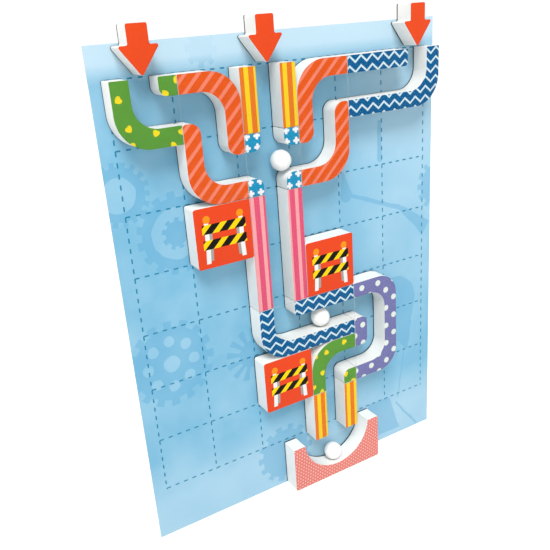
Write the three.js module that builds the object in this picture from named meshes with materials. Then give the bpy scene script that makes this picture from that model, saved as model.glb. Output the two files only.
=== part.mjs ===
// A wall-hung marble run: a printed poster sheet with magnetic foam track tiles on a square grid.
// Millimetres, +Z up. The origin is the middle of the poster's back face, the front faces -Y,
// and +X is to the right seen from the front.
import * as THREE from "three";

// Grid and poster
const CELL = 40;
const COLUMNS = 6;
const ROWS = 7;
const SIDE_MARGIN = 7;
const TOP_MARGIN = 19;
const BOTTOM_MARGIN = 38;
const POSTER_THICKNESS = 0.6;
const POSTER_WIDTH = COLUMNS * CELL + 2 * SIDE_MARGIN;
const POSTER_HEIGHT = ROWS * CELL + TOP_MARGIN + BOTTOM_MARGIN;
const GRID_LEFT = -COLUMNS * CELL / 2;
const GRID_TOP = POSTER_HEIGHT / 2 - TOP_MARGIN;

// Layers of a tile, from the poster outwards
const MAGNET_THICKNESS = 0.8;
const CHANNEL_DEPTH = 14.4;
const FILM_THICKNESS = 0.3;
const FOAM_FRONT = POSTER_THICKNESS + CHANNEL_DEPTH;

// Track section: a channel down the middle of each cell between two foam walls
const WALL = 11.4;
const EDGE_GAP = 0.2;
const FAR_WALL = CELL - WALL;

// Radii of the bends and corners
const BEND_OUTSIDE = 20.8;
const BEND_INSIDE = 14.8;
const U_BEND_OUTSIDE = 16.8;
const U_BEND_INSIDE = 13.6;
const S_BEND_END = 6.8;
const S_BEND_TIP = 2;
const BLOCK_CORNER = 5;
const CROSS_CORNER = 6;
const BAR_CORNER = 3;
const SQUARE = 0;
const ARC_STEPS = 7;

// Direction arrows
const ARROW_WIDTH = 27;
const ARROW_HEIGHT = 28.7;
const ARROW_HEAD = 17.2;
const ARROW_STEM = 13.5;
const ARROW_CORNER = 1;

// Barrier squares
const BARRIER_CORNER = 1.5;

// Catcher
const CATCHER_WIDTH = 2 * CELL;
const CATCHER_DROP = 1;
const CATCHER_HEIGHT = BOTTOM_MARGIN - CATCHER_DROP;
const CATCHER_CORNER = 1;
const CUP_RADIUS = 30;
const CUP_CENTRE_RISE = 2.4;
const CUP_STEPS = 28;

// Marbles
const MARBLE_RADIUS = 7;
const MARBLE_REST_GAP = 0.2;
const MARBLE_RINGS = 12;
const MARBLE_SEGMENTS = 20;

const COLOURS = {
  poster: 0x9bcde8, foam: 0xf4f3f0, magnet: 0x2a2724, marble: 0xf6f6f4, green: 0x62a03c,
  orange: 0xf06226, yellow: 0xffdc2d, jigsaw: 0x2daadc, pink: 0xe95f82, blue: 0x0c64a5,
  purple: 0x6c73aa, red: 0xea5026, salmon: 0xf09187,
};

const solid = (colour, roughness) =>
  new THREE.MeshStandardMaterial({ color: COLOURS[colour], roughness, metalness: 0 });
const film = (colour) => new THREE.MeshStandardMaterial(
  { color: COLOURS[colour], roughness: 0.15, metalness: 0, transparent: true, opacity: 0.35 });

// Points round a closed outline. A corner is [x, y, radius], and y runs down from the tile's top.
function roundedOutline(corners) {
  const points = [];
  corners.forEach(([x, y, radius], i) => {
    const corner = new THREE.Vector2(x, -y);
    if (radius === SQUARE) {
      points.push(corner);
      return;
    }
    const [lastX, lastY] = corners.at(i - 1);
    const [nextX, nextY] = corners[(i + 1) % corners.length];
    const back = new THREE.Vector2(lastX, -lastY).sub(corner).normalize();
    const ahead = new THREE.Vector2(nextX, -nextY).sub(corner).normalize();
    const halfAngle = Math.acos(back.dot(ahead)) / 2;
    const middle = back.clone().add(ahead).normalize();
    const centre = corner.clone().addScaledVector(middle, radius / Math.sin(halfAngle));
    const reach = radius / Math.tan(halfAngle);
    const start = corner.clone().addScaledVector(back, reach).sub(centre);
    const end = corner.clone().addScaledVector(ahead, reach).sub(centre);
    const turn = Math.atan2(start.cross(end), start.dot(end));
    for (let step = 0; step <= ARC_STEPS; step++) {
      const angle = turn * step / ARC_STEPS;
      points.push(start.clone().rotateAround(new THREE.Vector2(), angle).add(centre));
    }
  });
  return points;
}

// A plate of the outline: its back at depth `back` and its face at depth `front`, towards -Y.
function plate(name, outline, back, front, material) {
  const geometry = new THREE.ExtrudeGeometry(
    new THREE.Shape(outline), { depth: front - back, bevelEnabled: false });
  geometry.rotateX(Math.PI / 2);
  const mesh = new THREE.Mesh(geometry, material);
  mesh.name = name;
  mesh.position.y = -back;
  return mesh;
}

// A group whose origin is the top left corner of a grid cell
function cellGroup(column, row) {
  const group = new THREE.Group();
  group.position.set(GRID_LEFT + column * CELL, 0, GRID_TOP - row * CELL);
  return group;
}

const mirrorAcross = (corners, width) => corners.map(([x, y, r]) => [width - x, y, r]);
const mirrorDown = (corners, height) => corners.map(([x, y, r]) => [x, height - y, r]);
const halfTurn = (corners, width, height) => corners.map(([x, y, r]) => [width - x, height - y, r]);

// Foam walls and, in front of them, the clear film window that carries the print
function trackTile(name, column, row, colour, walls, windowCorners) {
  const tile = cellGroup(column, row);
  for (const [part, corners] of Object.entries(walls)) {
    tile.add(plate(`${name}_${part}`, roundedOutline(corners),
      POSTER_THICKNESS, FOAM_FRONT, solid("foam", 0.85)));
  }
  tile.add(plate(`${name}_window`, roundedOutline(windowCorners),
    FOAM_FRONT, FOAM_FRONT + FILM_THICKNESS, film(colour)));
  return tile;
}

function straightTile(name, column, row, colour, cells) {
  const end = cells * CELL - EDGE_GAP;
  const left = [
    [EDGE_GAP, EDGE_GAP, SQUARE], [WALL, EDGE_GAP, SQUARE],
    [WALL, end, SQUARE], [EDGE_GAP, end, SQUARE]];
  const window = [
    [EDGE_GAP, EDGE_GAP, SQUARE], [CELL - EDGE_GAP, EDGE_GAP, SQUARE],
    [CELL - EDGE_GAP, end, SQUARE], [EDGE_GAP, end, SQUARE]];
  const walls = { left_wall: left, right_wall: mirrorAcross(left, CELL) };
  return trackTile(name, column, row, colour, walls, window);
}

// The channel runs from the tile's top left down and out to the right, and flip turns it over.
function elbowTile(name, column, row, colour, cells, innerPart, innerCorner, flip) {
  const end = cells * CELL - EDGE_GAP;
  const foot = CELL - EDGE_GAP;
  const outer = [
    [EDGE_GAP, EDGE_GAP, SQUARE], [WALL, EDGE_GAP, SQUARE], [WALL, FAR_WALL, BEND_INSIDE],
    [end, FAR_WALL, SQUARE], [end, foot, SQUARE], [EDGE_GAP, foot, BEND_OUTSIDE]];
  const inner = [
    [FAR_WALL, EDGE_GAP, SQUARE], [end, EDGE_GAP, SQUARE],
    [end, WALL, SQUARE], [FAR_WALL, WALL, innerCorner]];
  const window = [
    [EDGE_GAP, EDGE_GAP, SQUARE], [end, EDGE_GAP, SQUARE],
    [end, foot, SQUARE], [EDGE_GAP, foot, BEND_OUTSIDE]];
  const walls = { outer_wall: flip(outer), [innerPart]: flip(inner) };
  return trackTile(name, column, row, colour, walls, flip(window));
}

// The channel enters on the left of the upper cell and leaves on the right of the lower cell.
function sBendTile(name, column, row, colour, flip) {
  const side = CELL - EDGE_GAP;
  const foot = 2 * CELL - EDGE_GAP;
  const upper = [
    [EDGE_GAP, EDGE_GAP, SQUARE], [side, EDGE_GAP, BEND_OUTSIDE],
    [side, CELL + WALL, S_BEND_TIP], [FAR_WALL, CELL + WALL, S_BEND_END],
    [FAR_WALL, WALL, BEND_INSIDE], [EDGE_GAP, WALL, SQUARE]];
  const lower = halfTurn(upper, CELL, 2 * CELL);
  const window = [
    [EDGE_GAP, EDGE_GAP, SQUARE], [side, EDGE_GAP, BEND_OUTSIDE],
    [side, foot, SQUARE], [EDGE_GAP, foot, BEND_OUTSIDE]];
  const walls = { upper_wall: flip(upper), lower_wall: flip(lower) };
  return trackTile(name, column, row, colour, walls, flip(window));
}

// The channel enters and leaves on the left, one cell apart.
function uBendTile(name, column, row, colour) {
  const side = CELL - EDGE_GAP;
  const foot = 2 * CELL - EDGE_GAP;
  const outer = [
    [EDGE_GAP, EDGE_GAP, SQUARE], [side, EDGE_GAP, U_BEND_OUTSIDE],
    [side, foot, U_BEND_OUTSIDE], [EDGE_GAP, foot, SQUARE],
    [EDGE_GAP, CELL + FAR_WALL, SQUARE], [FAR_WALL, CELL + FAR_WALL, U_BEND_INSIDE],
    [FAR_WALL, WALL, U_BEND_INSIDE], [EDGE_GAP, WALL, SQUARE]];
  const inner = [
    [EDGE_GAP, FAR_WALL, SQUARE], [WALL, FAR_WALL, BLOCK_CORNER],
    [WALL, CELL + WALL, BLOCK_CORNER], [EDGE_GAP, CELL + WALL, SQUARE]];
  const window = [
    [EDGE_GAP, EDGE_GAP, SQUARE], [side, EDGE_GAP, U_BEND_OUTSIDE],
    [side, foot, U_BEND_OUTSIDE], [EDGE_GAP, foot, SQUARE]];
  return trackTile(name, column, row, colour, { outer_wall: outer, inner_wall: inner }, window);
}

function crossTile(name, column, row, colour) {
  const end = CELL - EDGE_GAP;
  const block = [
    [EDGE_GAP, EDGE_GAP, SQUARE], [WALL, EDGE_GAP, SQUARE],
    [WALL, WALL, CROSS_CORNER], [EDGE_GAP, WALL, SQUARE]];
  const walls = {
    upper_left_block: block,
    upper_right_block: mirrorAcross(block, CELL),
    lower_left_block: mirrorDown(block, CELL),
    lower_right_block: halfTurn(block, CELL, CELL),
  };
  const window = [
    [EDGE_GAP, EDGE_GAP, SQUARE], [end, EDGE_GAP, SQUARE],
    [end, end, SQUARE], [EDGE_GAP, end, SQUARE]];
  return trackTile(name, column, row, colour, walls, window);
}

// One foam block with its magnet sheet behind and its printed face in front
function blockTile(name, group, outline, colour) {
  const magnetFront = POSTER_THICKNESS + MAGNET_THICKNESS;
  group.add(
    plate(`${name}_magnet`, outline, POSTER_THICKNESS, magnetFront, solid("magnet", 0.6)),
    plate(`${name}_foam`, outline, magnetFront, FOAM_FRONT, solid("foam", 0.85)),
    plate(`${name}_face`, outline, FOAM_FRONT, FOAM_FRONT + FILM_THICKNESS, solid(colour, 0.35)));
  return group;
}

// An arrow above the grid, over the middle of a column, with its tip on the grid's top line
function arrowTile(name, column) {
  const middle = CELL / 2;
  const [halfStem, halfHead] = [ARROW_STEM / 2, ARROW_WIDTH / 2];
  const top = -ARROW_HEIGHT;
  const barbs = -ARROW_HEAD;
  const corners = [
    [middle - halfStem, top, ARROW_CORNER], [middle + halfStem, top, ARROW_CORNER],
    [middle + halfStem, barbs, ARROW_CORNER], [middle + halfHead, barbs, ARROW_CORNER],
    [middle, 0, ARROW_CORNER], [middle - halfHead, barbs, ARROW_CORNER],
    [middle - halfStem, barbs, ARROW_CORNER]];
  return blockTile(name, cellGroup(column, 0), roundedOutline(corners), "red");
}

function barrierTile(name, column, row) {
  const end = CELL - EDGE_GAP;
  const corners = [
    [EDGE_GAP, EDGE_GAP, BARRIER_CORNER], [end, EDGE_GAP, BARRIER_CORNER],
    [end, end, BARRIER_CORNER], [EDGE_GAP, end, BARRIER_CORNER]];
  return blockTile(name, cellGroup(column, row), roundedOutline(corners), "red");
}

// A block with a round cup in its top, its foot level with the poster's lower edge
function catcherTile(name, column) {
  const foot = CATCHER_DROP + CATCHER_HEIGHT;
  const outline = roundedOutline([
    [CATCHER_WIDTH, CATCHER_DROP, SQUARE], [CATCHER_WIDTH, foot, CATCHER_CORNER],
    [0, foot, CATCHER_CORNER], [0, CATCHER_DROP, SQUARE]]);
  const rimAngle = Math.asin(CUP_CENTRE_RISE / CUP_RADIUS);
  const sweep = Math.PI - 2 * rimAngle;
  for (let step = 0; step <= CUP_STEPS; step++) {
    const angle = Math.PI + rimAngle + sweep * step / CUP_STEPS;
    outline.push(new THREE.Vector2(
      CATCHER_WIDTH / 2 + CUP_RADIUS * Math.cos(angle),
      -CATCHER_DROP + CUP_CENTRE_RISE + CUP_RADIUS * Math.sin(angle)));
  }
  return blockTile(name, cellGroup(column, ROWS), outline, "salmon");
}

// A ball in the middle of the channel's depth, its centre x across and y down in cells
function marble(name, x, y) {
  const profile = [];
  for (let ring = 0; ring <= MARBLE_RINGS; ring++) {
    const angle = Math.PI * (ring / MARBLE_RINGS - 0.5);
    const onAxis = ring === 0 || ring === MARBLE_RINGS;
    const radius = onAxis ? 0 : MARBLE_RADIUS * Math.cos(angle);
    profile.push(new THREE.Vector2(radius, MARBLE_RADIUS * Math.sin(angle)));
  }
  const mesh = new THREE.Mesh(
    new THREE.LatheGeometry(profile, MARBLE_SEGMENTS), solid("marble", 0.2));
  mesh.name = name;
  mesh.position.set(
    GRID_LEFT + x * CELL, -(POSTER_THICKNESS + CHANNEL_DEPTH / 2), GRID_TOP - y * CELL);
  return mesh;
}

function posterSheet() {
  const corners = [
    [0, 0, SQUARE], [POSTER_WIDTH, 0, SQUARE],
    [POSTER_WIDTH, POSTER_HEIGHT, SQUARE], [0, POSTER_HEIGHT, SQUARE]];
  const sheet = plate(
    "poster_sheet", roundedOutline(corners), 0, POSTER_THICKNESS, solid("poster", 0.7));
  sheet.position.x = -POSTER_WIDTH / 2;
  sheet.position.z = POSTER_HEIGHT / 2;
  return sheet;
}

const asDrawn = (corners) => corners;
const acrossCell = (corners) => mirrorAcross(corners, CELL);
const acrossTwoCells = (corners) => mirrorAcross(corners, 2 * CELL);
const overCell = (corners) => mirrorDown(corners, CELL);

// Heights, in cells down from the grid's top, of a marble resting on what is under it
const CHANNEL_FLOOR = (FAR_WALL - MARBLE_RADIUS - MARBLE_REST_GAP) / CELL;
const CUP_FLOOR = (CATCHER_DROP - CUP_CENTRE_RISE + CUP_RADIUS - MARBLE_RADIUS - MARBLE_REST_GAP) / CELL;

const marbleRun = new THREE.Group();
marbleRun.add(
  posterSheet(),
  elbowTile("top_elbow", 0, 0, "green", 1, "inner_block", BLOCK_CORNER, asDrawn),
  sBendTile("left_s_bend", 1, 0, "orange", asDrawn),
  straightTile("top_straight", 2, 0, "yellow", 1),
  crossTile("cross", 2, 1, "jigsaw"),
  sBendTile("right_s_bend", 3, 0, "orange", acrossCell),
  elbowTile("top_long_elbow", 4, 0, "blue", 2, "inner_bar", BAR_CORNER, acrossTwoCells),
  straightTile("long_straight", 2, 2, "pink", 2),
  elbowTile("low_long_elbow", 2, 4, "blue", 2, "inner_bar", BAR_CORNER, asDrawn),
  uBendTile("u_bend", 4, 4, "purple"),
  elbowTile("low_elbow", 3, 5, "green", 1, "inner_block", BLOCK_CORNER, overCell),
  straightTile("bottom_straight", 3, 6, "yellow", 1),
  arrowTile("left_arrow", 0),
  arrowTile("middle_arrow", 2),
  arrowTile("right_arrow", 5),
  barrierTile("upper_barrier", 1, 2),
  barrierTile("middle_barrier", 3, 3),
  barrierTile("lower_barrier", 2, 5),
  catcherTile("catcher", 2.5),
  marble("cross_marble", 2.73, 1 + CHANNEL_FLOOR),
  marble("long_elbow_marble", 3.35, 4 + CHANNEL_FLOOR),
  marble("catcher_marble", 3.5, ROWS + CUP_FLOOR));

export default marbleRun;
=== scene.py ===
import math

import bmesh
import bpy
from mathutils import Matrix, Vector


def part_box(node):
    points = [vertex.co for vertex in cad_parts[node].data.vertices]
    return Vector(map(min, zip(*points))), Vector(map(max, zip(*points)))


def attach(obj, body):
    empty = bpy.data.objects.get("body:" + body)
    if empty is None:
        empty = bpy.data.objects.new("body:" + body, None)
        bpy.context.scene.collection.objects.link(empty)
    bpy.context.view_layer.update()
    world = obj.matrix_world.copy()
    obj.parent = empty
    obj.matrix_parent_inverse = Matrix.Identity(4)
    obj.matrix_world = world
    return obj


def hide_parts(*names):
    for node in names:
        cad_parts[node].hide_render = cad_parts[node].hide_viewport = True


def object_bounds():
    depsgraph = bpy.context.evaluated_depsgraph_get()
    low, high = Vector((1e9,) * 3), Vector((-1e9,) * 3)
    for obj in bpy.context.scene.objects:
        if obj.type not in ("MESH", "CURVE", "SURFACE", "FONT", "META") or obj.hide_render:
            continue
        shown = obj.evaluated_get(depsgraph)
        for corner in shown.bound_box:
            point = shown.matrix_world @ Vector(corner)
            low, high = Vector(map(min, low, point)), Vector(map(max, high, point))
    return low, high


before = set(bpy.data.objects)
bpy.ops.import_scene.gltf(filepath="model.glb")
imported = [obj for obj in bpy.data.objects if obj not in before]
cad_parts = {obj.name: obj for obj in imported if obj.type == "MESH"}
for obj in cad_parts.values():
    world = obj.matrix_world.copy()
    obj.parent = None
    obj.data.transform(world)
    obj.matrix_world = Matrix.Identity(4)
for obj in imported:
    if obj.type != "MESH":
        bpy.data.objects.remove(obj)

CAD_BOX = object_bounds()
MM = 0.001


def in_mm(node):
    """A CAD node's lowest and highest corners in millimetres."""
    low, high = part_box(node)
    return low / MM, high / MM


# Sizes read from the CAD parts in model.glb
SHEET_LOW, SHEET_HIGH = in_mm("poster_sheet")
UPPER_LOW, UPPER_HIGH = in_mm("top_straight_window")
_, LOWER_HIGH = in_mm("cross_window")
WALL_LOW, WALL_HIGH = in_mm("top_straight_left_wall")
CORNER_LOW, CORNER_HIGH = in_mm("top_elbow_window")
TILE_GAP = UPPER_LOW.z - LOWER_HIGH.z
EDGE = TILE_GAP / 2
CELL = UPPER_HIGH.x - UPPER_LOW.x + TILE_GAP
WALL = WALL_HIGH.x - WALL_LOW.x + EDGE
FAR_WALL = CELL - WALL
GRID_LEFT = CORNER_LOW.x - EDGE
GRID_TOP = CORNER_HIGH.z + EDGE
SHEET_FRONT = -SHEET_LOW.y
MAGNET_FRONT = -in_mm("catcher_magnet")[0].y
FOAM_FRONT = -WALL_LOW.y
FILM_FRONT = -UPPER_LOW.y
COLUMNS, ROWS = 6, 7

# Radii of the bends and corners, and how finely their arcs are cut
BEND_OUTSIDE = 20.8
BEND_INSIDE = 14.8
U_BEND_OUTSIDE = 16.8
U_BEND_INSIDE = 13.6
S_BEND_END = 6.8
S_BEND_TIP = 2
BLOCK_CORNER = 5
CROSS_CORNER = 6
BAR_CORNER = 3
CUT_CORNER = 0.35
ARROW_CORNER = 1
BARRIER_CORNER = 1.5
ARC_STEP = math.radians(5)
SHORT_ARC_STEPS = 3

# Layers of a tile, and how far each one's rims are rounded or drawn in
PRINT_THICKNESS = 0.12
FOAM_EDGE = 0.3
PRINT_EDGE = 0.05
FILM_EDGE = 0.06
FOAM_WAIST = 0.12
MAGNET_EDGE = 0.05
FILM_GAP = 0.02
RIM_STEPS = 3
WAIST_SHARES = (0.12, 0.3, 0.5, 0.7, 0.88)
SHARP_ANGLE = 38

# The printed grid is a little smaller than the tiles laid on it: where it starts and its spacing
PRINT_START_X, PRINT_PITCH_X = 2.6, 39.33
PRINT_START_Y, PRINT_PITCH_Y = 0.4, 39.8

# How much of its colour each kind of surface gives back, beside the white floor
PRINT_LEVEL = 0.66
FOAM_LEVEL = 0.75
GLAZE_LEVEL = 0.79


# ------------------------------------------------------------------ node arithmetic
class Field:
    """A number that varies over a surface: a node socket that takes the usual arithmetic."""

    def __init__(self, tree, socket):
        self.tree = tree
        self.socket = socket

    def apply(self, operation, *others):
        node = self.tree.nodes.new("ShaderNodeMath")
        node.operation = operation
        for slot, value in zip(node.inputs, (self, *others)):
            if isinstance(value, Field):
                self.tree.links.new(value.socket, slot)
            else:
                slot.default_value = value
        return Field(self.tree, node.outputs[0])

    def __add__(self, other):
        return self.apply("ADD", other)

    def __sub__(self, other):
        return self.apply("SUBTRACT", other)

    def __mul__(self, other):
        return self.apply("MULTIPLY", other)

    def __truediv__(self, other):
        return self.apply("DIVIDE", other)

    def __lt__(self, other):
        return self.apply("LESS_THAN", other)

    def __gt__(self, other):
        return self.apply("GREATER_THAN", other)

    def __and__(self, other):
        return self.apply("MINIMUM", other)

    def __or__(self, other):
        return self.apply("MAXIMUM", other)

    def minus_from(self, number):
        return (self * -1) + number

    def centred(self, period):
        """Repeats every period, from minus half of it to plus half."""
        return self.apply("WRAP", -period / 2, period / 2)

    def triangle(self, period):
        """A zigzag wave from 0 to half the period."""
        return self.apply("PINGPONG", period / 2)

    def repeated(self, period):
        return self.apply("WRAP", 0.0, period)


def length(x, y):
    return (x * x + y * y).apply("SQRT")


def within(value, low, high):
    return (value > low) & (value < high)


def box_mask(x, y, left, right, top, bottom):
    return within(x, left, right) & within(y, top, bottom)


def disc_mask(x, y, centre_x, centre_y, radius):
    return length(x - centre_x, y - centre_y) < radius


def linear(colour, level):
    """A colour given as three numbers out of 255, made darker by a level, for a shader."""
    channels = [c / 255 for c in colour]
    channels = [c / 12.92 if c <= 0.04045 else ((c + 0.055) / 1.055) ** 2.4 for c in channels]
    return [c * level for c in channels] + [1.0]


class Finish:
    """One material and the nodes that vary its colour, roughness and relief over the surface."""

    def __init__(self, name, roughness, specular=0.08, level=PRINT_LEVEL):
        self.level = level
        self.material = bpy.data.materials.new(name)
        self.material.use_nodes = True
        self.tree = self.material.node_tree
        self.shader = self.tree.nodes["Principled BSDF"]
        self.shader.inputs["Roughness"].default_value = roughness
        self.shader.inputs["Specular IOR Level"].default_value = specular
        self.place = self.tree.nodes.new("ShaderNodeTexCoord").outputs["Object"]
        self.axes = self.tree.nodes.new("ShaderNodeSeparateXYZ")
        self.tree.links.new(self.place, self.axes.inputs[0])

    def along(self, axis):
        return Field(self.tree, self.axes.outputs[axis])

    def facing(self, axis):
        """How far the surface faces along an axis, from -1 to 1."""
        normal = self.tree.nodes.new("ShaderNodeSeparateXYZ")
        self.tree.links.new(self.tree.nodes.new("ShaderNodeTexCoord").outputs["Normal"],
                            normal.inputs[0])
        return Field(self.tree, normal.outputs[axis])

    def cells(self):
        """How far right and down a point is from the piece's origin, in cells."""
        return self.along("X") / (CELL * MM), self.along("Z") / (-CELL * MM)

    def noise(self, size, detail=2.0, stretch=(1, 1, 1), shift=(0, 0, 0)):
        """A cloudy value round a half, with features of about that size in millimetres."""
        mapping = self.tree.nodes.new("ShaderNodeMapping")
        mapping.inputs["Scale"].default_value = [s / (size * MM) for s in stretch]
        mapping.inputs["Location"].default_value = shift
        self.tree.links.new(self.place, mapping.inputs["Vector"])
        node = self.tree.nodes.new("ShaderNodeTexNoise")
        node.inputs["Scale"].default_value = 1.0
        node.inputs["Detail"].default_value = detail
        self.tree.links.new(mapping.outputs[0], node.inputs["Vector"])
        return Field(self.tree, node.outputs["Fac"])

    def pores(self, size):
        """The distance from the nearest point of a random scatter, 0 at the point."""
        mapping = self.tree.nodes.new("ShaderNodeMapping")
        mapping.inputs["Scale"].default_value = [1 / (size * MM)] * 3
        self.tree.links.new(self.place, mapping.inputs["Vector"])
        node = self.tree.nodes.new("ShaderNodeTexVoronoi")
        node.inputs["Scale"].default_value = 1.0
        self.tree.links.new(mapping.outputs[0], node.inputs["Vector"])
        return Field(self.tree, node.outputs["Distance"])

    def plain(self, colour):
        node = self.tree.nodes.new("ShaderNodeRGB")
        node.outputs[0].default_value = linear(colour, self.level)
        return node.outputs[0]

    def over(self, below, colour, mask):
        """A colour, or a colour socket, laid over another where the mask is 1."""
        node = self.tree.nodes.new("ShaderNodeMix")
        node.data_type = "RGBA"
        self.tree.links.new(mask.socket, node.inputs[0])
        self.tree.links.new(below, node.inputs[6])
        if isinstance(colour, (list, tuple)):
            node.inputs[7].default_value = linear(colour, self.level)
        else:
            self.tree.links.new(colour, node.inputs[7])
        return node.outputs[2]

    def scaled(self, colour, factor):
        """The colour made lighter or darker by a factor that varies."""
        node = self.tree.nodes.new("ShaderNodeHueSaturation")
        self.tree.links.new(colour, node.inputs["Color"])
        self.tree.links.new(factor.socket, node.inputs["Value"])
        return node.outputs[0]

    def colour(self, socket):
        self.tree.links.new(socket, self.shader.inputs["Base Color"])

    def rough(self, field):
        self.tree.links.new(field.socket, self.shader.inputs["Roughness"])

    def relief(self, field, height, strength=1.0):
        """Bumps, whose height in millimetres is the field times height."""
        node = self.tree.nodes.new("ShaderNodeBump")
        node.inputs["Distance"].default_value = height * MM
        node.inputs["Strength"].default_value = strength
        self.tree.links.new(field.socket, node.inputs["Height"])
        self.tree.links.new(node.outputs[0], self.shader.inputs["Normal"])


# ------------------------------------------------------------------ materials
FOAM_WHITE = (254, 254, 251)
MAGNET_GREY = (16, 16, 18)


def foam_finish():
    """White closed-cell foam: fine open pores darkened with painted shade, and faint cutting marks
    across its thickness.
    """
    finish = Finish("white_foam", 0.85, 0.2, FOAM_LEVEL)
    pores = finish.pores(0.55)
    # The pores' pits are painted darker: painted shade in the hollows of the foam.
    pore_shade = (pores < 0.22) * 0.10
    cloud = finish.noise(6.0) * 0.05
    finish.colour(finish.scaled(finish.plain(FOAM_WHITE), (pore_shade + cloud).minus_from(1.03)))
    marks = finish.noise(0.8, 3.0, stretch=(1, 0.15, 1))
    finish.relief(pores + marks, 0.05, 0.6)
    return finish.material


def magnet_finish():
    """Flexible magnet sheet: dark, matt and slightly grainy."""
    finish = Finish("magnet_sheet", 0.6)
    grain = finish.noise(0.4, 4.0)
    finish.colour(finish.scaled(finish.plain(MAGNET_GREY), grain * 0.5 + 0.75))
    finish.rough(grain * 0.2 + 0.5)
    finish.relief(grain, 0.02)
    return finish.material


def printed(finish, colour):
    """Ink on glossy film: a slight mottle, an uneven gloss and a gently waving face."""
    mottle = finish.noise(2.2, 3.0)
    finish.colour(finish.scaled(colour, mottle * 0.08 + 0.96))
    finish.rough(mottle * 0.16 + 0.28)
    finish.relief(finish.noise(7.0, 1.0), 0.06, 0.5)
    return finish.material


def heart_mask(x, y, centre_x, centre_y, turn, width):
    """A small heart of a given width in cells, turned clockwise by an angle in degrees."""
    unit = width / 2.2
    angle = math.radians(turn)
    across, down = x - centre_x, y - centre_y
    side = (across * math.cos(angle) + down * math.sin(angle)) / unit
    rise = (across * math.sin(angle) - down * math.cos(angle)) / unit
    square = side * side + rise * rise - 1.0
    return square * square * square - side * side * rise * rise * rise < 0.0


# Each heart's middle in cells, its turn in degrees and its width in cells
HEARTS = (
    (0.095, 0.265, 60, 0.105), (0.205, 0.675, -35, 0.10), (0.585, 0.785, 25, 0.10),
    (0.20, 0.90, 110, 0.10), (0.845, 0.985, -80, 0.10), (0.79, 0.235, 150, 0.105),
    (0.985, 0.085, 40, 0.10), (0.985, 0.815, -20, 0.095))


def heart_print():
    """Yellow hearts scattered on green."""
    finish = Finish("heart_print", 0.35)
    x, y = finish.cells()
    mask = heart_mask(x, y, *HEARTS[0])
    for heart in HEARTS[1:]:
        mask = mask | heart_mask(x, y, *heart)
    return printed(finish, finish.over(finish.plain((94, 158, 54)), (252, 226, 30), mask))


def slant_print():
    """Salmon stripes on orange, rising to the right at 45 degrees."""
    finish = Finish("slant_stripe_print", 0.35)
    x, y = finish.cells()
    middle, period, half_width = 0.099, 0.163, 0.027
    across = (x + y) * math.sqrt(0.5)
    mask = (across - middle).centred(period).apply("ABSOLUTE") < half_width
    return printed(finish, finish.over(finish.plain((238, 90, 10)), (250, 138, 108), mask))


def upright_print(name, ground, stripe, start, width, period):
    """Upright stripes: the first starts that far from the tile's left side, in cells."""
    finish = Finish(name, 0.35)
    x, _ = finish.cells()
    mask = (x - start).repeated(period) < width
    return printed(finish, finish.over(finish.plain(ground), stripe, mask))


def zigzag_print():
    """Level zigzag lines on dark blue."""
    finish = Finish("zigzag_print", 0.35)
    x, y = finish.cells()
    start, length_of_wave, height_of_wave, period, width = 0.045, 0.235, 0.10, 0.160, 0.042
    wave = (x - start).triangle(length_of_wave) * (height_of_wave / (length_of_wave / 2))
    mask = (y - wave).repeated(period) < width
    return printed(finish, finish.over(finish.plain((0, 94, 150)), (214, 240, 248), mask))


def spot_print():
    """Two square lattices of pale spots, one in the middle of the other."""
    finish = Finish("spot_print", 0.35)
    x, y = finish.cells()
    period, radius = 0.375, 0.058
    lattices = []
    for start_x, start_y in ((0.185, 0.135), (0.3725, 0.3225)):
        across, down = (x - start_x).centred(period), (y - start_y).centred(period)
        lattices.append(length(across, down) < radius)
    mask = lattices[0] | lattices[1]
    return printed(finish, finish.over(finish.plain((122, 122, 178)), (238, 246, 238), mask))


def clover_print():
    """White four-lobed shapes in a square lattice on sky blue."""
    finish = Finish("clover_print", 0.35)
    x, y = finish.cells()
    start, period, lobe, reach = 0.04, 0.18, 0.024, 0.036
    across, down = (x - start).centred(period), (y - start).centred(period)
    mask = length(across, down) < lobe
    for side_x, side_y in ((reach, 0), (-reach, 0), (0, -reach), (0, reach)):
        mask = mask | (length(across - side_x, down - side_y) < lobe)
    return printed(finish, finish.over(finish.plain((26, 152, 196)), (250, 252, 255), mask))


def arrow_print():
    """Plain orange-red."""
    finish = Finish("arrow_print", 0.35)
    return printed(finish, finish.plain((238, 78, 32)))


def barrier_print():
    """A road barrier: two striped planks with lamps, on posts, on an orange-red ground."""
    finish = Finish("barrier_print", 0.35)
    x, y = finish.cells()
    folded = (x - 0.5).apply("ABSOLUTE").minus_from(0.5)
    lean = (y - 0.65).apply("MAXIMUM", 0.0) * 0.06
    leg = folded + lean
    colour = finish.plain((236, 74, 34))
    shade = within(leg, 0.235, 0.285) & within(y, 0.42, 0.87)
    colour = finish.over(colour, (168, 166, 162), shade)
    post = within(leg, 0.158, 0.235) & within(y, 0.245, 0.912)
    colour = finish.over(colour, (246, 246, 244), post)
    lamp = disc_mask(folded, y, 0.206, 0.19, 0.062)
    colour = finish.over(colour, (250, 152, 28), lamp)
    planks = within(x, 0.119, 0.887) & (within(y, 0.272, 0.424) | within(y, 0.526, 0.678))
    row = (y - 0.272).repeated(0.254)
    yellow = (x + row * 1.05 - 0.172).repeated(0.274) < 0.12
    stripes = finish.over(finish.plain((22, 18, 20)), (255, 218, 8), yellow)
    return printed(finish, finish.over(colour, stripes, planks))


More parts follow.
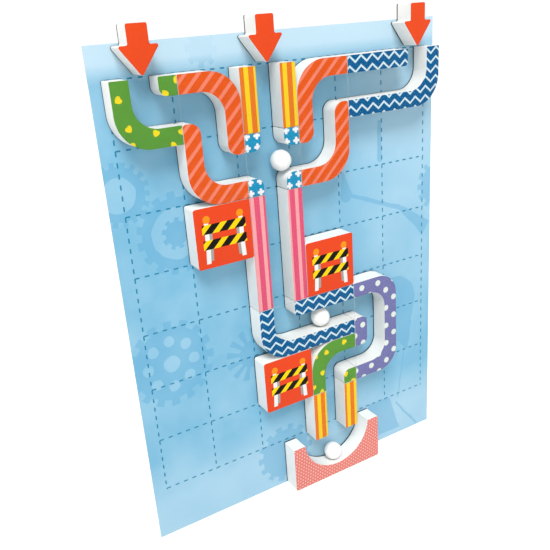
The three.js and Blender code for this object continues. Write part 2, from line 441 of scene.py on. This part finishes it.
def catcher_print():
    """Rows of tiny pale dashes on salmon."""
    finish = Finish("catcher_print", 0.4)
    x, y = finish.cells()
    row_height, spacing, radius = 0.068, 0.064, 0.0145
    slope = x * 0.35 + y
    row = slope.repeated(row_height)
    stagger = (slope - row) * 0.5 / row_height * spacing
    place = (x * 0.94 - y * 0.33 + stagger).centred(spacing)
    dashes = length(place, (row - row_height / 2) * 0.8) < radius
    return printed(finish, finish.over(finish.plain((232, 130, 120)), (247, 196, 188), dashes))


def film_finish():
    """Clear film: it shows only as a faint gloss, with a painted white highlight along its cut
    edges.
    """
    finish = Finish("clear_film", 0.12, 0.5)
    ripple = finish.noise(9.0, 1.0)
    finish.rough(ripple * 0.1 + 0.06)
    # The cut edges are painted white and made more opaque: a painted highlight where light catches
    # the film's edge.
    painted_edge_glint = finish.facing("Y").apply("ABSOLUTE") < 0.7
    finish.colour(finish.over(finish.plain((90, 120, 135)), (250, 252, 254), painted_edge_glint))
    alpha = ripple * 0.02 + 0.01 + painted_edge_glint * 0.35
    finish.tree.links.new(alpha.socket, finish.shader.inputs["Alpha"])
    return finish.material


def marble_finish():
    """White glazed ball, with the faintest cloud in the glaze."""
    finish = Finish("white_marble", 0.1, 0.6, GLAZE_LEVEL)
    cloud = finish.noise(4.0, 3.0)
    finish.colour(finish.scaled(finish.plain((247, 247, 246)), cloud * 0.05 + 0.975))
    finish.rough(cloud * 0.08 + 0.06)
    return finish.material


def gear_mask(x, y, centre_x, centre_y, root, tip, teeth, turn=0.0):
    """A gear wheel's disc with square-cut teeth, in cells."""
    across, down = x - centre_x, y - centre_y
    angle = down.apply("ARCTAN2", across) * (teeth / (2 * math.pi)) + turn
    tooth = (angle.apply("FRACT") < 0.5) * (tip - root)
    return length(across, down) < tooth + root


def hole_mask(x, y, centre_x, centre_y, ring, radius, count):
    """Round holes in a ring."""
    across, down = x - centre_x, y - centre_y
    angle = down.apply("ARCTAN2", across).centred(2 * math.pi / count)
    reach = length(across, down)
    return length(reach * angle.apply("COSINE") - ring, reach * angle.apply("SINE")) < radius


def bar_mask(x, y, start, end, start_width, end_width):
    """A straight bar between two points, its width changing along it."""
    run = (end[0] - start[0], end[1] - start[1])
    size = math.hypot(*run)
    along_x, along_y = run[0] / size, run[1] / size
    across, down = x - start[0], y - start[1]
    along = across * along_x + down * along_y
    off = (across * along_y - down * along_x).apply("ABSOLUTE")
    taper = along * ((end_width - start_width) / size / 2) + start_width / 2
    return (off < taper) & within(along, 0.0, size)


def silhouettes(x, y):
    """Masks of the poster's darker and lighter machine shapes, placed in cells of its grid."""
    wheel = gear_mask(x, y, 0.4125, 4.64, 0.665, 0.785, 16, 0.2)
    holes = (hole_mask(x, y, 0.4125, 4.64, 0.42, 0.10, 8)
             | disc_mask(x, y, 0.4125, 4.64, 0.146))
    crown = gear_mask(x, y, 0.80, 2.42, 0.59, 0.68, 15, 0.1)
    crown_inside = disc_mask(x, y, 0.80, 2.42, 0.43)
    pinion = gear_mask(x, y, 0.80, 2.42, 0.20, 0.26, 9, 0.4)
    edge_wheel = gear_mask(x, y, -0.05, 1.65, 0.42, 0.50, 18, 0.0)
    edge_inside = disc_mask(x, y, -0.05, 1.65, 0.27)
    burst = gear_mask(x, y, 1.95, 4.95, 0.26, 0.52, 13, 0.3)
    foot_wheel = gear_mask(x, y, 2.5, 7.3, 0.52, 0.62, 14, 0.2)
    top_wheel = gear_mask(x, y, 1.55, -0.30, 0.20, 0.27, 8, 0.1)
    side_wheel = gear_mask(x, y, 6.40, 2.60, 0.42, 0.52, 14, 0.3)
    pulley = disc_mask(x, y, 4.16, 2.44, 0.13) | bar_mask(
        x, y, (4.10, 2.02), (4.16, 2.48), 0.06, 0.26)
    arm = (bar_mask(x, y, (4.22, 2.44), (5.45, 2.92), 0.07, 0.09)
           | bar_mask(x, y, (5.45, 2.92), (6.10, 3.45), 0.10, 0.30))
    balloon = disc_mask(x, y, 5.27, 4.86, 0.55) | bar_mask(
        x, y, (5.33, 5.1), (5.62, 6.0), 0.98, 0.04)
    string = (bar_mask(x, y, (5.62, 5.5), (5.36, 7.1), 0.03, 0.03)
              | bar_mask(x, y, (5.30, 7.2), (5.9, 7.95), 0.05, 0.05))
    base = bar_mask(x, y, (4.85, 7.0), (4.85, 7.85), 0.55, 1.1)
    rod = box_mask(x, y, 4.90, 4.99, 1.2, 1.95)
    dark = (wheel & holes.minus_from(1.0)) | (crown & crown_inside.minus_from(1.0)) | pinion
    dark = dark | (edge_wheel & edge_inside.minus_from(1.0)) | burst | foot_wheel | top_wheel
    dark = dark | side_wheel | pulley | arm | balloon | string | base | rod
    return dark, (holes | crown_inside | edge_inside) & pinion.minus_from(1.0)


def grid_mask(x, y):
    """Dashed lines on every side of every cell."""
    dash, gap_start, half_width = 1 / 6, 0.078, 0.0125
    upright = (x.centred(1.0).apply("ABSOLUTE") < half_width) & (y.repeated(dash) < gap_start)
    level = (y.centred(1.0).apply("ABSOLUTE") < half_width) & (x.repeated(dash) < gap_start)
    inside = box_mask(x, y, -0.02, COLUMNS + 0.02, -0.02, ROWS + 0.02)
    return (upright | level) & inside


def poster_finish():
    """The sheet: a pale blue print on its front, plain white card on its back and edges."""
    finish = Finish("poster_print", 0.5, 0.2)
    x = (finish.along("X") / MM - PRINT_START_X) / PRINT_PITCH_X
    y = (finish.along("Z") / -MM - PRINT_START_Y) / PRINT_PITCH_Y
    drift, waver = 9.0, 0.06
    wash_x = x + (finish.noise(drift, 2.0) - 0.5) * waver
    wash_y = y + (finish.noise(drift, 2.0, shift=(7, 3, 5)) - 0.5) * waver
    cloud = (finish.noise(38.0, 3.0) - 0.38) * 3.2
    colour = finish.over(finish.plain((128, 192, 225)), (152, 205, 233), cloud & 1.0 | 0.0)
    pale_top = y * -3.5 + 0.2 & 1.0 | 0.0
    pale_foot = (y - ROWS + 0.6) * 0.5 & 0.45 | 0.0
    pale_side = ((x - 3.4) * 0.25 & 0.5 | 0.0) * (y * -0.25 + 1.4 & 1.0 | 0.0)
    colour = finish.over(colour, (200, 232, 250), pale_top | pale_foot | pale_side)
    dark, light = silhouettes(wash_x, wash_y)
    colour = finish.over(colour, (176, 218, 240), light * 0.2)
    colour = finish.over(colour, (96, 174, 216), dark * (pale_top * -0.4 + 0.48))
    colour = finish.over(colour, (0, 130, 168), grid_mask(x, y) * 0.95)
    colour = finish.over(colour, (243, 243, 240), finish.facing("Y") > -0.5)
    fibre = finish.noise(0.7, 3.0)
    finish.colour(finish.scaled(colour, fibre * 0.05 + 0.975))
    finish.rough(fibre * 0.15 + 0.42)
    finish.relief(fibre, 0.01)
    return finish.material


# ------------------------------------------------------------------ shapes
def rounded_outline(corners):
    """Points in metres round a closed outline whose corners are (x, y down, radius)."""
    points = []
    for i, (x, y, radius) in enumerate(corners):
        corner = Vector((x, -y))
        last = Vector((corners[i - 1][0], -corners[i - 1][1]))
        ahead = corners[(i + 1) % len(corners)]
        back = (last - corner).normalized()
        onward = (Vector((ahead[0], -ahead[1])) - corner).normalized()
        half_angle = back.angle(onward) / 2
        centre = corner + (back + onward).normalized() * radius / math.sin(half_angle)
        start = corner + back * radius / math.tan(half_angle) - centre
        end = corner + onward * radius / math.tan(half_angle) - centre
        turn = math.atan2(start.x * end.y - start.y * end.x, start.dot(end))
        steps = max(SHORT_ARC_STEPS, math.ceil(abs(turn) / ARC_STEP) if radius > 2 else 0)
        for step in range(steps + 1):
            angle = turn * step / steps
            cosine, sine = math.cos(angle), math.sin(angle)
            points.append(centre + Vector(
                (start.x * cosine - start.y * sine, start.x * sine + start.y * cosine)))
    return turned_left([p * MM for p in points])


def turned_left(points):
    """The outline in anticlockwise order."""
    area = sum(a.x * b.y - b.x * a.y for a, b in zip(points, points[1:] + points[:1]))
    return points if area > 0 else points[::-1]


def inset(points, distance):
    """The outline moved inwards by a distance in metres."""
    moved = []
    for i, point in enumerate(points):
        before = (point - points[i - 1]).normalized()
        after = (points[(i + 1) % len(points)] - point).normalized()
        normals = (Vector((before.y, -before.x)), Vector((after.y, -after.x)))
        middle = (normals[0] + normals[1]).normalized()
        moved.append(point - middle * distance / max(middle.dot(normals[0]), 0.3))
    return moved


def edge_rings(back, front, back_edge, front_edge, waist=0.0):
    """(depth, inset) in millimetres up a slab's side, with both rims rounded over."""
    rings = []
    angles = [math.radians(90 / RIM_STEPS * step) for step in range(RIM_STEPS + 1)]
    for angle in angles:
        rings.append((back + back_edge * (1 - math.cos(angle)), back_edge * (1 - math.sin(angle))))
    if waist:
        for share in WAIST_SHARES:
            depth = back + (front - back) * share
            rings.append((depth, waist * math.sin(math.pi * share)))
    for angle in reversed(angles):
        rings.append(
            (front - front_edge * (1 - math.cos(angle)), front_edge * (1 - math.sin(angle))))
    return rings


def slab(name, outline, rings):
    """A closed plate of the outline: flat back and front faces and the given side rings."""
    points, faces = [], []
    count = len(outline)
    for depth, distance in rings:
        ring = inset(outline, distance * MM) if distance else outline
        points += [(p.x, -depth * MM, p.y) for p in ring]
    for ring in range(len(rings) - 1):
        low, high = ring * count, (ring + 1) * count
        for i in range(count):
            j = (i + 1) % count
            faces.append((low + i, low + j, high + j, high + i))
    faces.append(tuple(range(count))[::-1])
    faces.append(tuple(range((len(rings) - 1) * count, len(rings) * count)))
    mesh = bpy.data.meshes.new(name)
    mesh.from_pydata(points, [], faces)
    for face in mesh.polygons:
        face.use_smooth = len(face.vertices) == 4
    mesh.set_sharp_from_angle(angle=math.radians(SHARP_ANGLE))
    return mesh


def ball(name, radius):
    mesh = bpy.data.meshes.new(name)
    form = bmesh.new()
    bmesh.ops.create_icosphere(form, subdivisions=5, radius=radius)
    form.to_mesh(mesh)
    form.free()
    for face in mesh.polygons:
        face.use_smooth = True
    return mesh


def piece(name, mesh, place, body, slot, material, *replaced):
    """Puts a finished mesh in the scene: where it is, what it moves with, what it stands for."""
    mesh.name = name
    mesh.materials.append(material)
    obj = bpy.data.objects.new(name, mesh)
    bpy.context.scene.collection.objects.link(obj)
    obj.matrix_world = place
    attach(obj, body)
    if replaced:
        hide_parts(*replaced)


# ------------------------------------------------------------------ tile outlines
def mirrored(corners, width):
    return [(width - x, y, r) for x, y, r in corners]


def half_turned(corners, width, height):
    return [(width - x, height - y, r) for x, y, r in corners]


def straight_parts(cells):
    end = cells * CELL - EDGE
    left = [(EDGE, EDGE, CUT_CORNER), (WALL, EDGE, CUT_CORNER),
            (WALL, end, CUT_CORNER), (EDGE, end, CUT_CORNER)]
    window = [(EDGE, EDGE, CUT_CORNER), (CELL - EDGE, EDGE, CUT_CORNER),
              (CELL - EDGE, end, CUT_CORNER), (EDGE, end, CUT_CORNER)]
    return {"left_wall": left, "right_wall": mirrored(left, CELL)}, window


def elbow_parts(cells, inner_part, inner_corner):
    end, foot = cells * CELL - EDGE, CELL - EDGE
    outer = [(EDGE, EDGE, CUT_CORNER), (WALL, EDGE, CUT_CORNER), (WALL, FAR_WALL, BEND_INSIDE),
             (end, FAR_WALL, CUT_CORNER), (end, foot, CUT_CORNER), (EDGE, foot, BEND_OUTSIDE)]
    inner = [(FAR_WALL, EDGE, CUT_CORNER), (end, EDGE, CUT_CORNER),
             (end, WALL, CUT_CORNER), (FAR_WALL, WALL, inner_corner)]
    window = [(EDGE, EDGE, CUT_CORNER), (end, EDGE, CUT_CORNER),
              (end, foot, CUT_CORNER), (EDGE, foot, BEND_OUTSIDE)]
    return {"outer_wall": outer, inner_part: inner}, window


def s_bend_parts():
    side, foot = CELL - EDGE, 2 * CELL - EDGE
    upper = [(EDGE, EDGE, CUT_CORNER), (side, EDGE, BEND_OUTSIDE),
             (side, CELL + WALL, S_BEND_TIP), (FAR_WALL, CELL + WALL, S_BEND_END),
             (FAR_WALL, WALL, BEND_INSIDE), (EDGE, WALL, CUT_CORNER)]
    window = [(EDGE, EDGE, CUT_CORNER), (side, EDGE, BEND_OUTSIDE),
              (side, foot, CUT_CORNER), (EDGE, foot, BEND_OUTSIDE)]
    return {"upper_wall": upper, "lower_wall": half_turned(upper, CELL, 2 * CELL)}, window


def u_bend_parts():
    side, foot = CELL - EDGE, 2 * CELL - EDGE
    outer = [(EDGE, EDGE, CUT_CORNER), (side, EDGE, U_BEND_OUTSIDE),
             (side, foot, U_BEND_OUTSIDE), (EDGE, foot, CUT_CORNER),
             (EDGE, CELL + FAR_WALL, CUT_CORNER), (FAR_WALL, CELL + FAR_WALL, U_BEND_INSIDE),
             (FAR_WALL, WALL, U_BEND_INSIDE), (EDGE, WALL, CUT_CORNER)]
    inner = [(EDGE, FAR_WALL, CUT_CORNER), (WALL, FAR_WALL, BLOCK_CORNER),
             (WALL, CELL + WALL, BLOCK_CORNER), (EDGE, CELL + WALL, CUT_CORNER)]
    window = [(EDGE, EDGE, CUT_CORNER), (side, EDGE, U_BEND_OUTSIDE),
              (side, foot, U_BEND_OUTSIDE), (EDGE, foot, CUT_CORNER)]
    return {"outer_wall": outer, "inner_wall": inner}, window


def cross_parts():
    end = CELL - EDGE
    block = [(EDGE, EDGE, CUT_CORNER), (WALL, EDGE, CUT_CORNER),
             (WALL, WALL, CROSS_CORNER), (EDGE, WALL, CUT_CORNER)]
    below = [(x, CELL - y, r) for x, y, r in block]
    window = [(EDGE, EDGE, CUT_CORNER), (end, EDGE, CUT_CORNER),
              (end, end, CUT_CORNER), (EDGE, end, CUT_CORNER)]
    walls = {"upper_left_block": block, "upper_right_block": mirrored(block, CELL),
             "lower_left_block": below, "lower_right_block": mirrored(below, CELL)}
    return walls, window


def across(parts, width):
    """The same tile mirrored left to right."""
    walls, window = parts
    return {part: mirrored(c, width) for part, c in walls.items()}, mirrored(window, width)


# ------------------------------------------------------------------ pieces
FOAM = foam_finish()
MAGNET = magnet_finish()
FILM = film_finish()


def foam_block(name, outline, place, body, print_depth, magnet_node, foam_node):
    """A foam block, as cut: the magnet sheet behind it and the foam in front."""
    magnet = slab(name, outline, edge_rings(
        SHEET_FRONT, MAGNET_FRONT, MAGNET_EDGE, MAGNET_EDGE))
    replaced = (magnet_node,) if magnet_node else ()
    piece(f"{name}_magnet_sheet", magnet, place, body, "magnet", MAGNET, *replaced)
    foam = slab(name, outline, edge_rings(
        MAGNET_FRONT, print_depth, FOAM_EDGE, PRINT_EDGE, FOAM_WAIST))
    piece(f"{name}_foam_core", foam, place, body, "foam", FOAM, foam_node)


def track_tile(name, parts, slot, material, turned=False):
    """Foam walls with printed faces, and the clear window across their front."""
    low, high = in_mm(f"{name}_window")
    corner = (high.x + EDGE if turned else low.x - EDGE, 0, high.z + EDGE)
    place = Matrix.Translation(Vector(corner) * MM)
    if turned:
        place = place @ Matrix.Rotation(math.pi / 2, 4, "Y")
    walls, window = parts
    print_back = FOAM_FRONT - PRINT_THICKNESS
    for part, corners in walls.items():
        outline = rounded_outline(corners)
        node = f"{name}_{part}"
        foam_block(node, outline, place, name, print_back, None, node)
        face = slab(node, outline, edge_rings(print_back, FOAM_FRONT, 0.0, PRINT_EDGE))
        piece(f"{node}_print", face, place, name, slot, material)
    film = slab(name, rounded_outline(window), edge_rings(
        FOAM_FRONT + FILM_GAP, FILM_FRONT, FILM_EDGE, FILM_EDGE))
    piece(f"{name}_clear_window", film, place, name, slot, FILM, f"{name}_window")


def block_tile(name, outline, slot, material, drop=0.0):
    """A solid foam block with its printed face, its origin at the top left of its cell."""
    low, high = in_mm(f"{name}_face")
    place = Matrix.Translation(Vector((low.x, 0, high.z + drop)) * MM)
    foam_block(name, outline, place, name, FOAM_FRONT, f"{name}_magnet", f"{name}_foam")
    face = slab(name, outline, edge_rings(FOAM_FRONT, FILM_FRONT, 0.0, 2 * PRINT_EDGE))
    piece(f"{name}_print", face, place, name, slot, material, f"{name}_face")


def arrow_outline(name):
    """A block arrow that points down, as wide and as high as its node."""
    low, high = in_mm(f"{name}_face")
    width, height = high.x - low.x, high.z - low.z
    barbs = 0.4 * height
    stem = 0.25 * width
    corners = [(stem, 0), (width - stem, 0), (width - stem, barbs), (width, barbs),
               (width / 2, height), (0, barbs), (stem, barbs)]
    return rounded_outline([(x, y, ARROW_CORNER) for x, y in corners])


def barrier_outline():
    side = CELL - 2 * EDGE
    return rounded_outline([(0, 0, BARRIER_CORNER), (side, 0, BARRIER_CORNER),
                            (side, side, BARRIER_CORNER), (0, side, BARRIER_CORNER)])


CUP_RADIUS = 30
CUP_CENTRE_RISE = 2.4
CUP_STEPS = 60
CATCHER_CORNER = 1


def catcher_outline():
    """A block with a round cup in its top."""
    low, high = in_mm("catcher_face")
    width, height = high.x - low.x, high.z - low.z
    corners = rounded_outline([
        (width, 0, CUT_CORNER), (width, height, CATCHER_CORNER),
        (0, height, CATCHER_CORNER), (0, 0, CUT_CORNER)])
    start = min(range(len(corners)), key=lambda i: (round(-corners[i].y, 6), corners[i].x))
    ordered = corners[start:] + corners[:start]
    rim = math.asin(CUP_CENTRE_RISE / CUP_RADIUS)
    cup = []
    for step in range(CUP_STEPS + 1):
        angle = rim + (math.pi - 2 * rim) * step / CUP_STEPS
        cup.append(Vector((width / 2 + CUP_RADIUS * math.cos(angle),
                           CUP_CENTRE_RISE - CUP_RADIUS * math.sin(angle))) * MM)
    return ordered + cup


def marble(name):
    low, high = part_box(name)
    radius = (high.z - low.z) / 2
    piece(f"{name}_ball", ball(name, radius), Matrix.Translation((low + high) / 2), name,
          "marble", MARBLE, name)


SHEET_CORNER = 0.5
SHEET_EDGE = 0.1


def poster():
    """The printed sheet, its origin at the top left corner of the grid."""
    left, right = SHEET_LOW.x - GRID_LEFT, SHEET_HIGH.x - GRID_LEFT
    top, bottom = GRID_TOP - SHEET_HIGH.z, GRID_TOP - SHEET_LOW.z
    outline = rounded_outline([(left, top, SHEET_CORNER), (right, top, SHEET_CORNER),
                               (right, bottom, SHEET_CORNER), (left, bottom, SHEET_CORNER)])
    mesh = slab("poster", outline, edge_rings(0.0, SHEET_FRONT, SHEET_EDGE, SHEET_EDGE))
    place = Matrix.Translation(Vector((GRID_LEFT, 0, GRID_TOP)) * MM)
    piece("poster_printed_sheet", mesh, place, "poster", "poster", poster_finish(),
          "poster_sheet")


HEART_PRINT = heart_print()
SLANT_PRINT = slant_print()
YELLOW_PRINT = upright_print(
    "yellow_stripe_print", (255, 218, 32), (240, 124, 26), -0.014, 0.092, 0.171)
PINK_PRINT = upright_print(
    "pink_stripe_print", (236, 88, 124), (255, 172, 176), 0.009, 0.068, 0.168)
ZIGZAG_PRINT = zigzag_print()
SPOT_PRINT = spot_print()
CLOVER_PRINT = clover_print()
ARROW_PRINT = arrow_print()
BARRIER_PRINT = barrier_print()
CATCHER_PRINT = catcher_print()
MARBLE = marble_finish()

poster()
track_tile("top_elbow", elbow_parts(1, "inner_block", BLOCK_CORNER), "window_green", HEART_PRINT)
track_tile("low_elbow", elbow_parts(1, "inner_block", BLOCK_CORNER), "window_green", HEART_PRINT,
           turned=True)
track_tile("left_s_bend", s_bend_parts(), "window_orange", SLANT_PRINT)
track_tile("right_s_bend", across(s_bend_parts(), CELL), "window_orange", SLANT_PRINT)
track_tile("top_straight", straight_parts(1), "window_yellow", YELLOW_PRINT)
track_tile("bottom_straight", straight_parts(1), "window_yellow", YELLOW_PRINT)
track_tile("long_straight", straight_parts(2), "window_pink", PINK_PRINT)
track_tile("cross", cross_parts(), "window_jigsaw", CLOVER_PRINT)
track_tile("top_long_elbow", across(elbow_parts(2, "inner_bar", BAR_CORNER), 2 * CELL),
           "window_blue", ZIGZAG_PRINT)
track_tile("low_long_elbow", elbow_parts(2, "inner_bar", BAR_CORNER), "window_blue",
           ZIGZAG_PRINT)
track_tile("u_bend", u_bend_parts(), "window_purple", SPOT_PRINT)
for arrow in ("left_arrow", "middle_arrow", "right_arrow"):
    block_tile(arrow, arrow_outline(arrow), "face_red", ARROW_PRINT)
for barrier in ("upper_barrier", "middle_barrier", "lower_barrier"):
    block_tile(barrier, barrier_outline(), "face_red", BARRIER_PRINT)
block_tile("catcher", catcher_outline(), "face_salmon", CATCHER_PRINT)
for ball_name in ("cross_marble", "long_elbow_marble", "catcher_marble"):
    marble(ball_name)

# ------------------------------------------------------------------ floor, light and camera
FLOOR_DROP = 1.2
FLOOR_SIZE = 40.0


def floor():
    """A plain pale floor, well below the hanging sheet."""
    low = min(CAD_BOX[0][2], CAD_BOX[1][2])
    half = FLOOR_SIZE / 2
    mesh = bpy.data.meshes.new("studio_floor")
    level = low - FLOOR_DROP
    mesh.from_pydata([(-half, -half, level), (half, -half, level),
                      (half, half, level), (-half, half, level)], [], [(0, 1, 2, 3)])
    finish = Finish("studio_floor", 0.9, 0.1, level=1.0)
    finish.colour(finish.scaled(finish.plain((250, 250, 250)), finish.noise(400.0) * 0.02 + 0.99))
    mesh.materials.append(finish.material)
    obj = bpy.data.objects.new("studio_floor", mesh)
    bpy.context.scene.collection.objects.link(obj)


KEY_AZIMUTH = 26
KEY_ELEVATION = 53
KEY_SPREAD = 28
KEY_STRENGTH = 3.3
KEY_TINT = (1.0, 0.99, 0.97)
HORIZON_LEVEL = 1.02
OVERHEAD_DROP = 0.82
DROP_START = 0.45
DROP_HEIGHT = 0.3


def sun(name, azimuth, elevation, spread, strength, tint):
    """A broad distant light from an azimuth, to the left of the front, and an elevation."""
    data = bpy.data.lights.new(name, "SUN")
    data.energy = strength
    data.angle = math.radians(spread)
    data.color = tint
    obj = bpy.data.objects.new(name, data)
    bpy.context.scene.collection.objects.link(obj)
    turn, rise = math.radians(azimuth), math.radians(elevation)
    source = Vector((-math.sin(turn) * math.cos(rise), -math.cos(turn) * math.cos(rise),
                     math.sin(rise)))
    obj.rotation_euler = source.to_track_quat("Z", "Y").to_euler()


def studio_world():
    """White light from all round, fading high overhead."""
    world = bpy.data.worlds.new("studio")
    bpy.context.scene.world = world
    world.use_nodes = True
    tree = world.node_tree
    background = tree.nodes["Background"]
    direction = tree.nodes.new("ShaderNodeSeparateXYZ")
    coordinates = tree.nodes.new("ShaderNodeTexCoord")
    tree.links.new(coordinates.outputs["Generated"], direction.inputs[0])
    height = Field(tree, direction.outputs["Z"]).apply("ABSOLUTE")
    overhead = (height - DROP_START) / DROP_HEIGHT & 1.0 | 0.0
    brightness = overhead * -OVERHEAD_DROP + HORIZON_LEVEL
    background.inputs["Color"].default_value = (1.0, 1.0, 1.0, 1.0)
    tree.links.new(brightness.socket, background.inputs["Strength"])


# The camera: degrees to the left of the front, above it and rolled, metres away, a lens in
# millimetres, and how far its aim is to the left of the sheet's middle and above it, in metres
AZIMUTH = 29.326
ELEVATION = 21.05
ROLL = 4.199
DISTANCE = 0.47404
LENS = 44.167
AIM_LEFT = 0.01736
AIM_UP = 0.00687


def camera():
    """The photograph's view: from the left and above, aimed just off the sheet's middle."""
    middle_x = (SHEET_LOW.x + SHEET_HIGH.x) / 2 * MM
    middle_z = (SHEET_LOW.z + SHEET_HIGH.z) / 2 * MM
    aim = Vector((middle_x - AIM_LEFT, -SHEET_FRONT * MM, middle_z + AIM_UP))
    turn, tilt, roll = math.radians(AZIMUTH), math.radians(ELEVATION), math.radians(ROLL)
    forward = Vector((math.sin(turn) * math.cos(tilt), math.cos(turn) * math.cos(tilt),
                      -math.sin(tilt)))
    level = Vector((math.cos(turn), -math.sin(turn), 0))
    upright = level.cross(forward)
    right = level * math.cos(roll) - upright * math.sin(roll)
    up = upright * math.cos(roll) + level * math.sin(roll)
    data = bpy.data.cameras.new("camera")
    data.lens = LENS
    data.sensor_width = 36
    data.clip_start = 0.01
    obj = bpy.data.objects.new("camera", data)
    bpy.context.scene.collection.objects.link(obj)
    matrix = Matrix((right, up, -forward)).transposed().to_4x4()
    matrix.translation = aim - forward * DISTANCE
    obj.matrix_world = matrix
    bpy.context.scene.camera = obj


floor()
sun("key", KEY_AZIMUTH, KEY_ELEVATION, KEY_SPREAD, KEY_STRENGTH, KEY_TINT)
studio_world()
camera()
bpy.context.scene.view_settings.view_transform = "Standard"
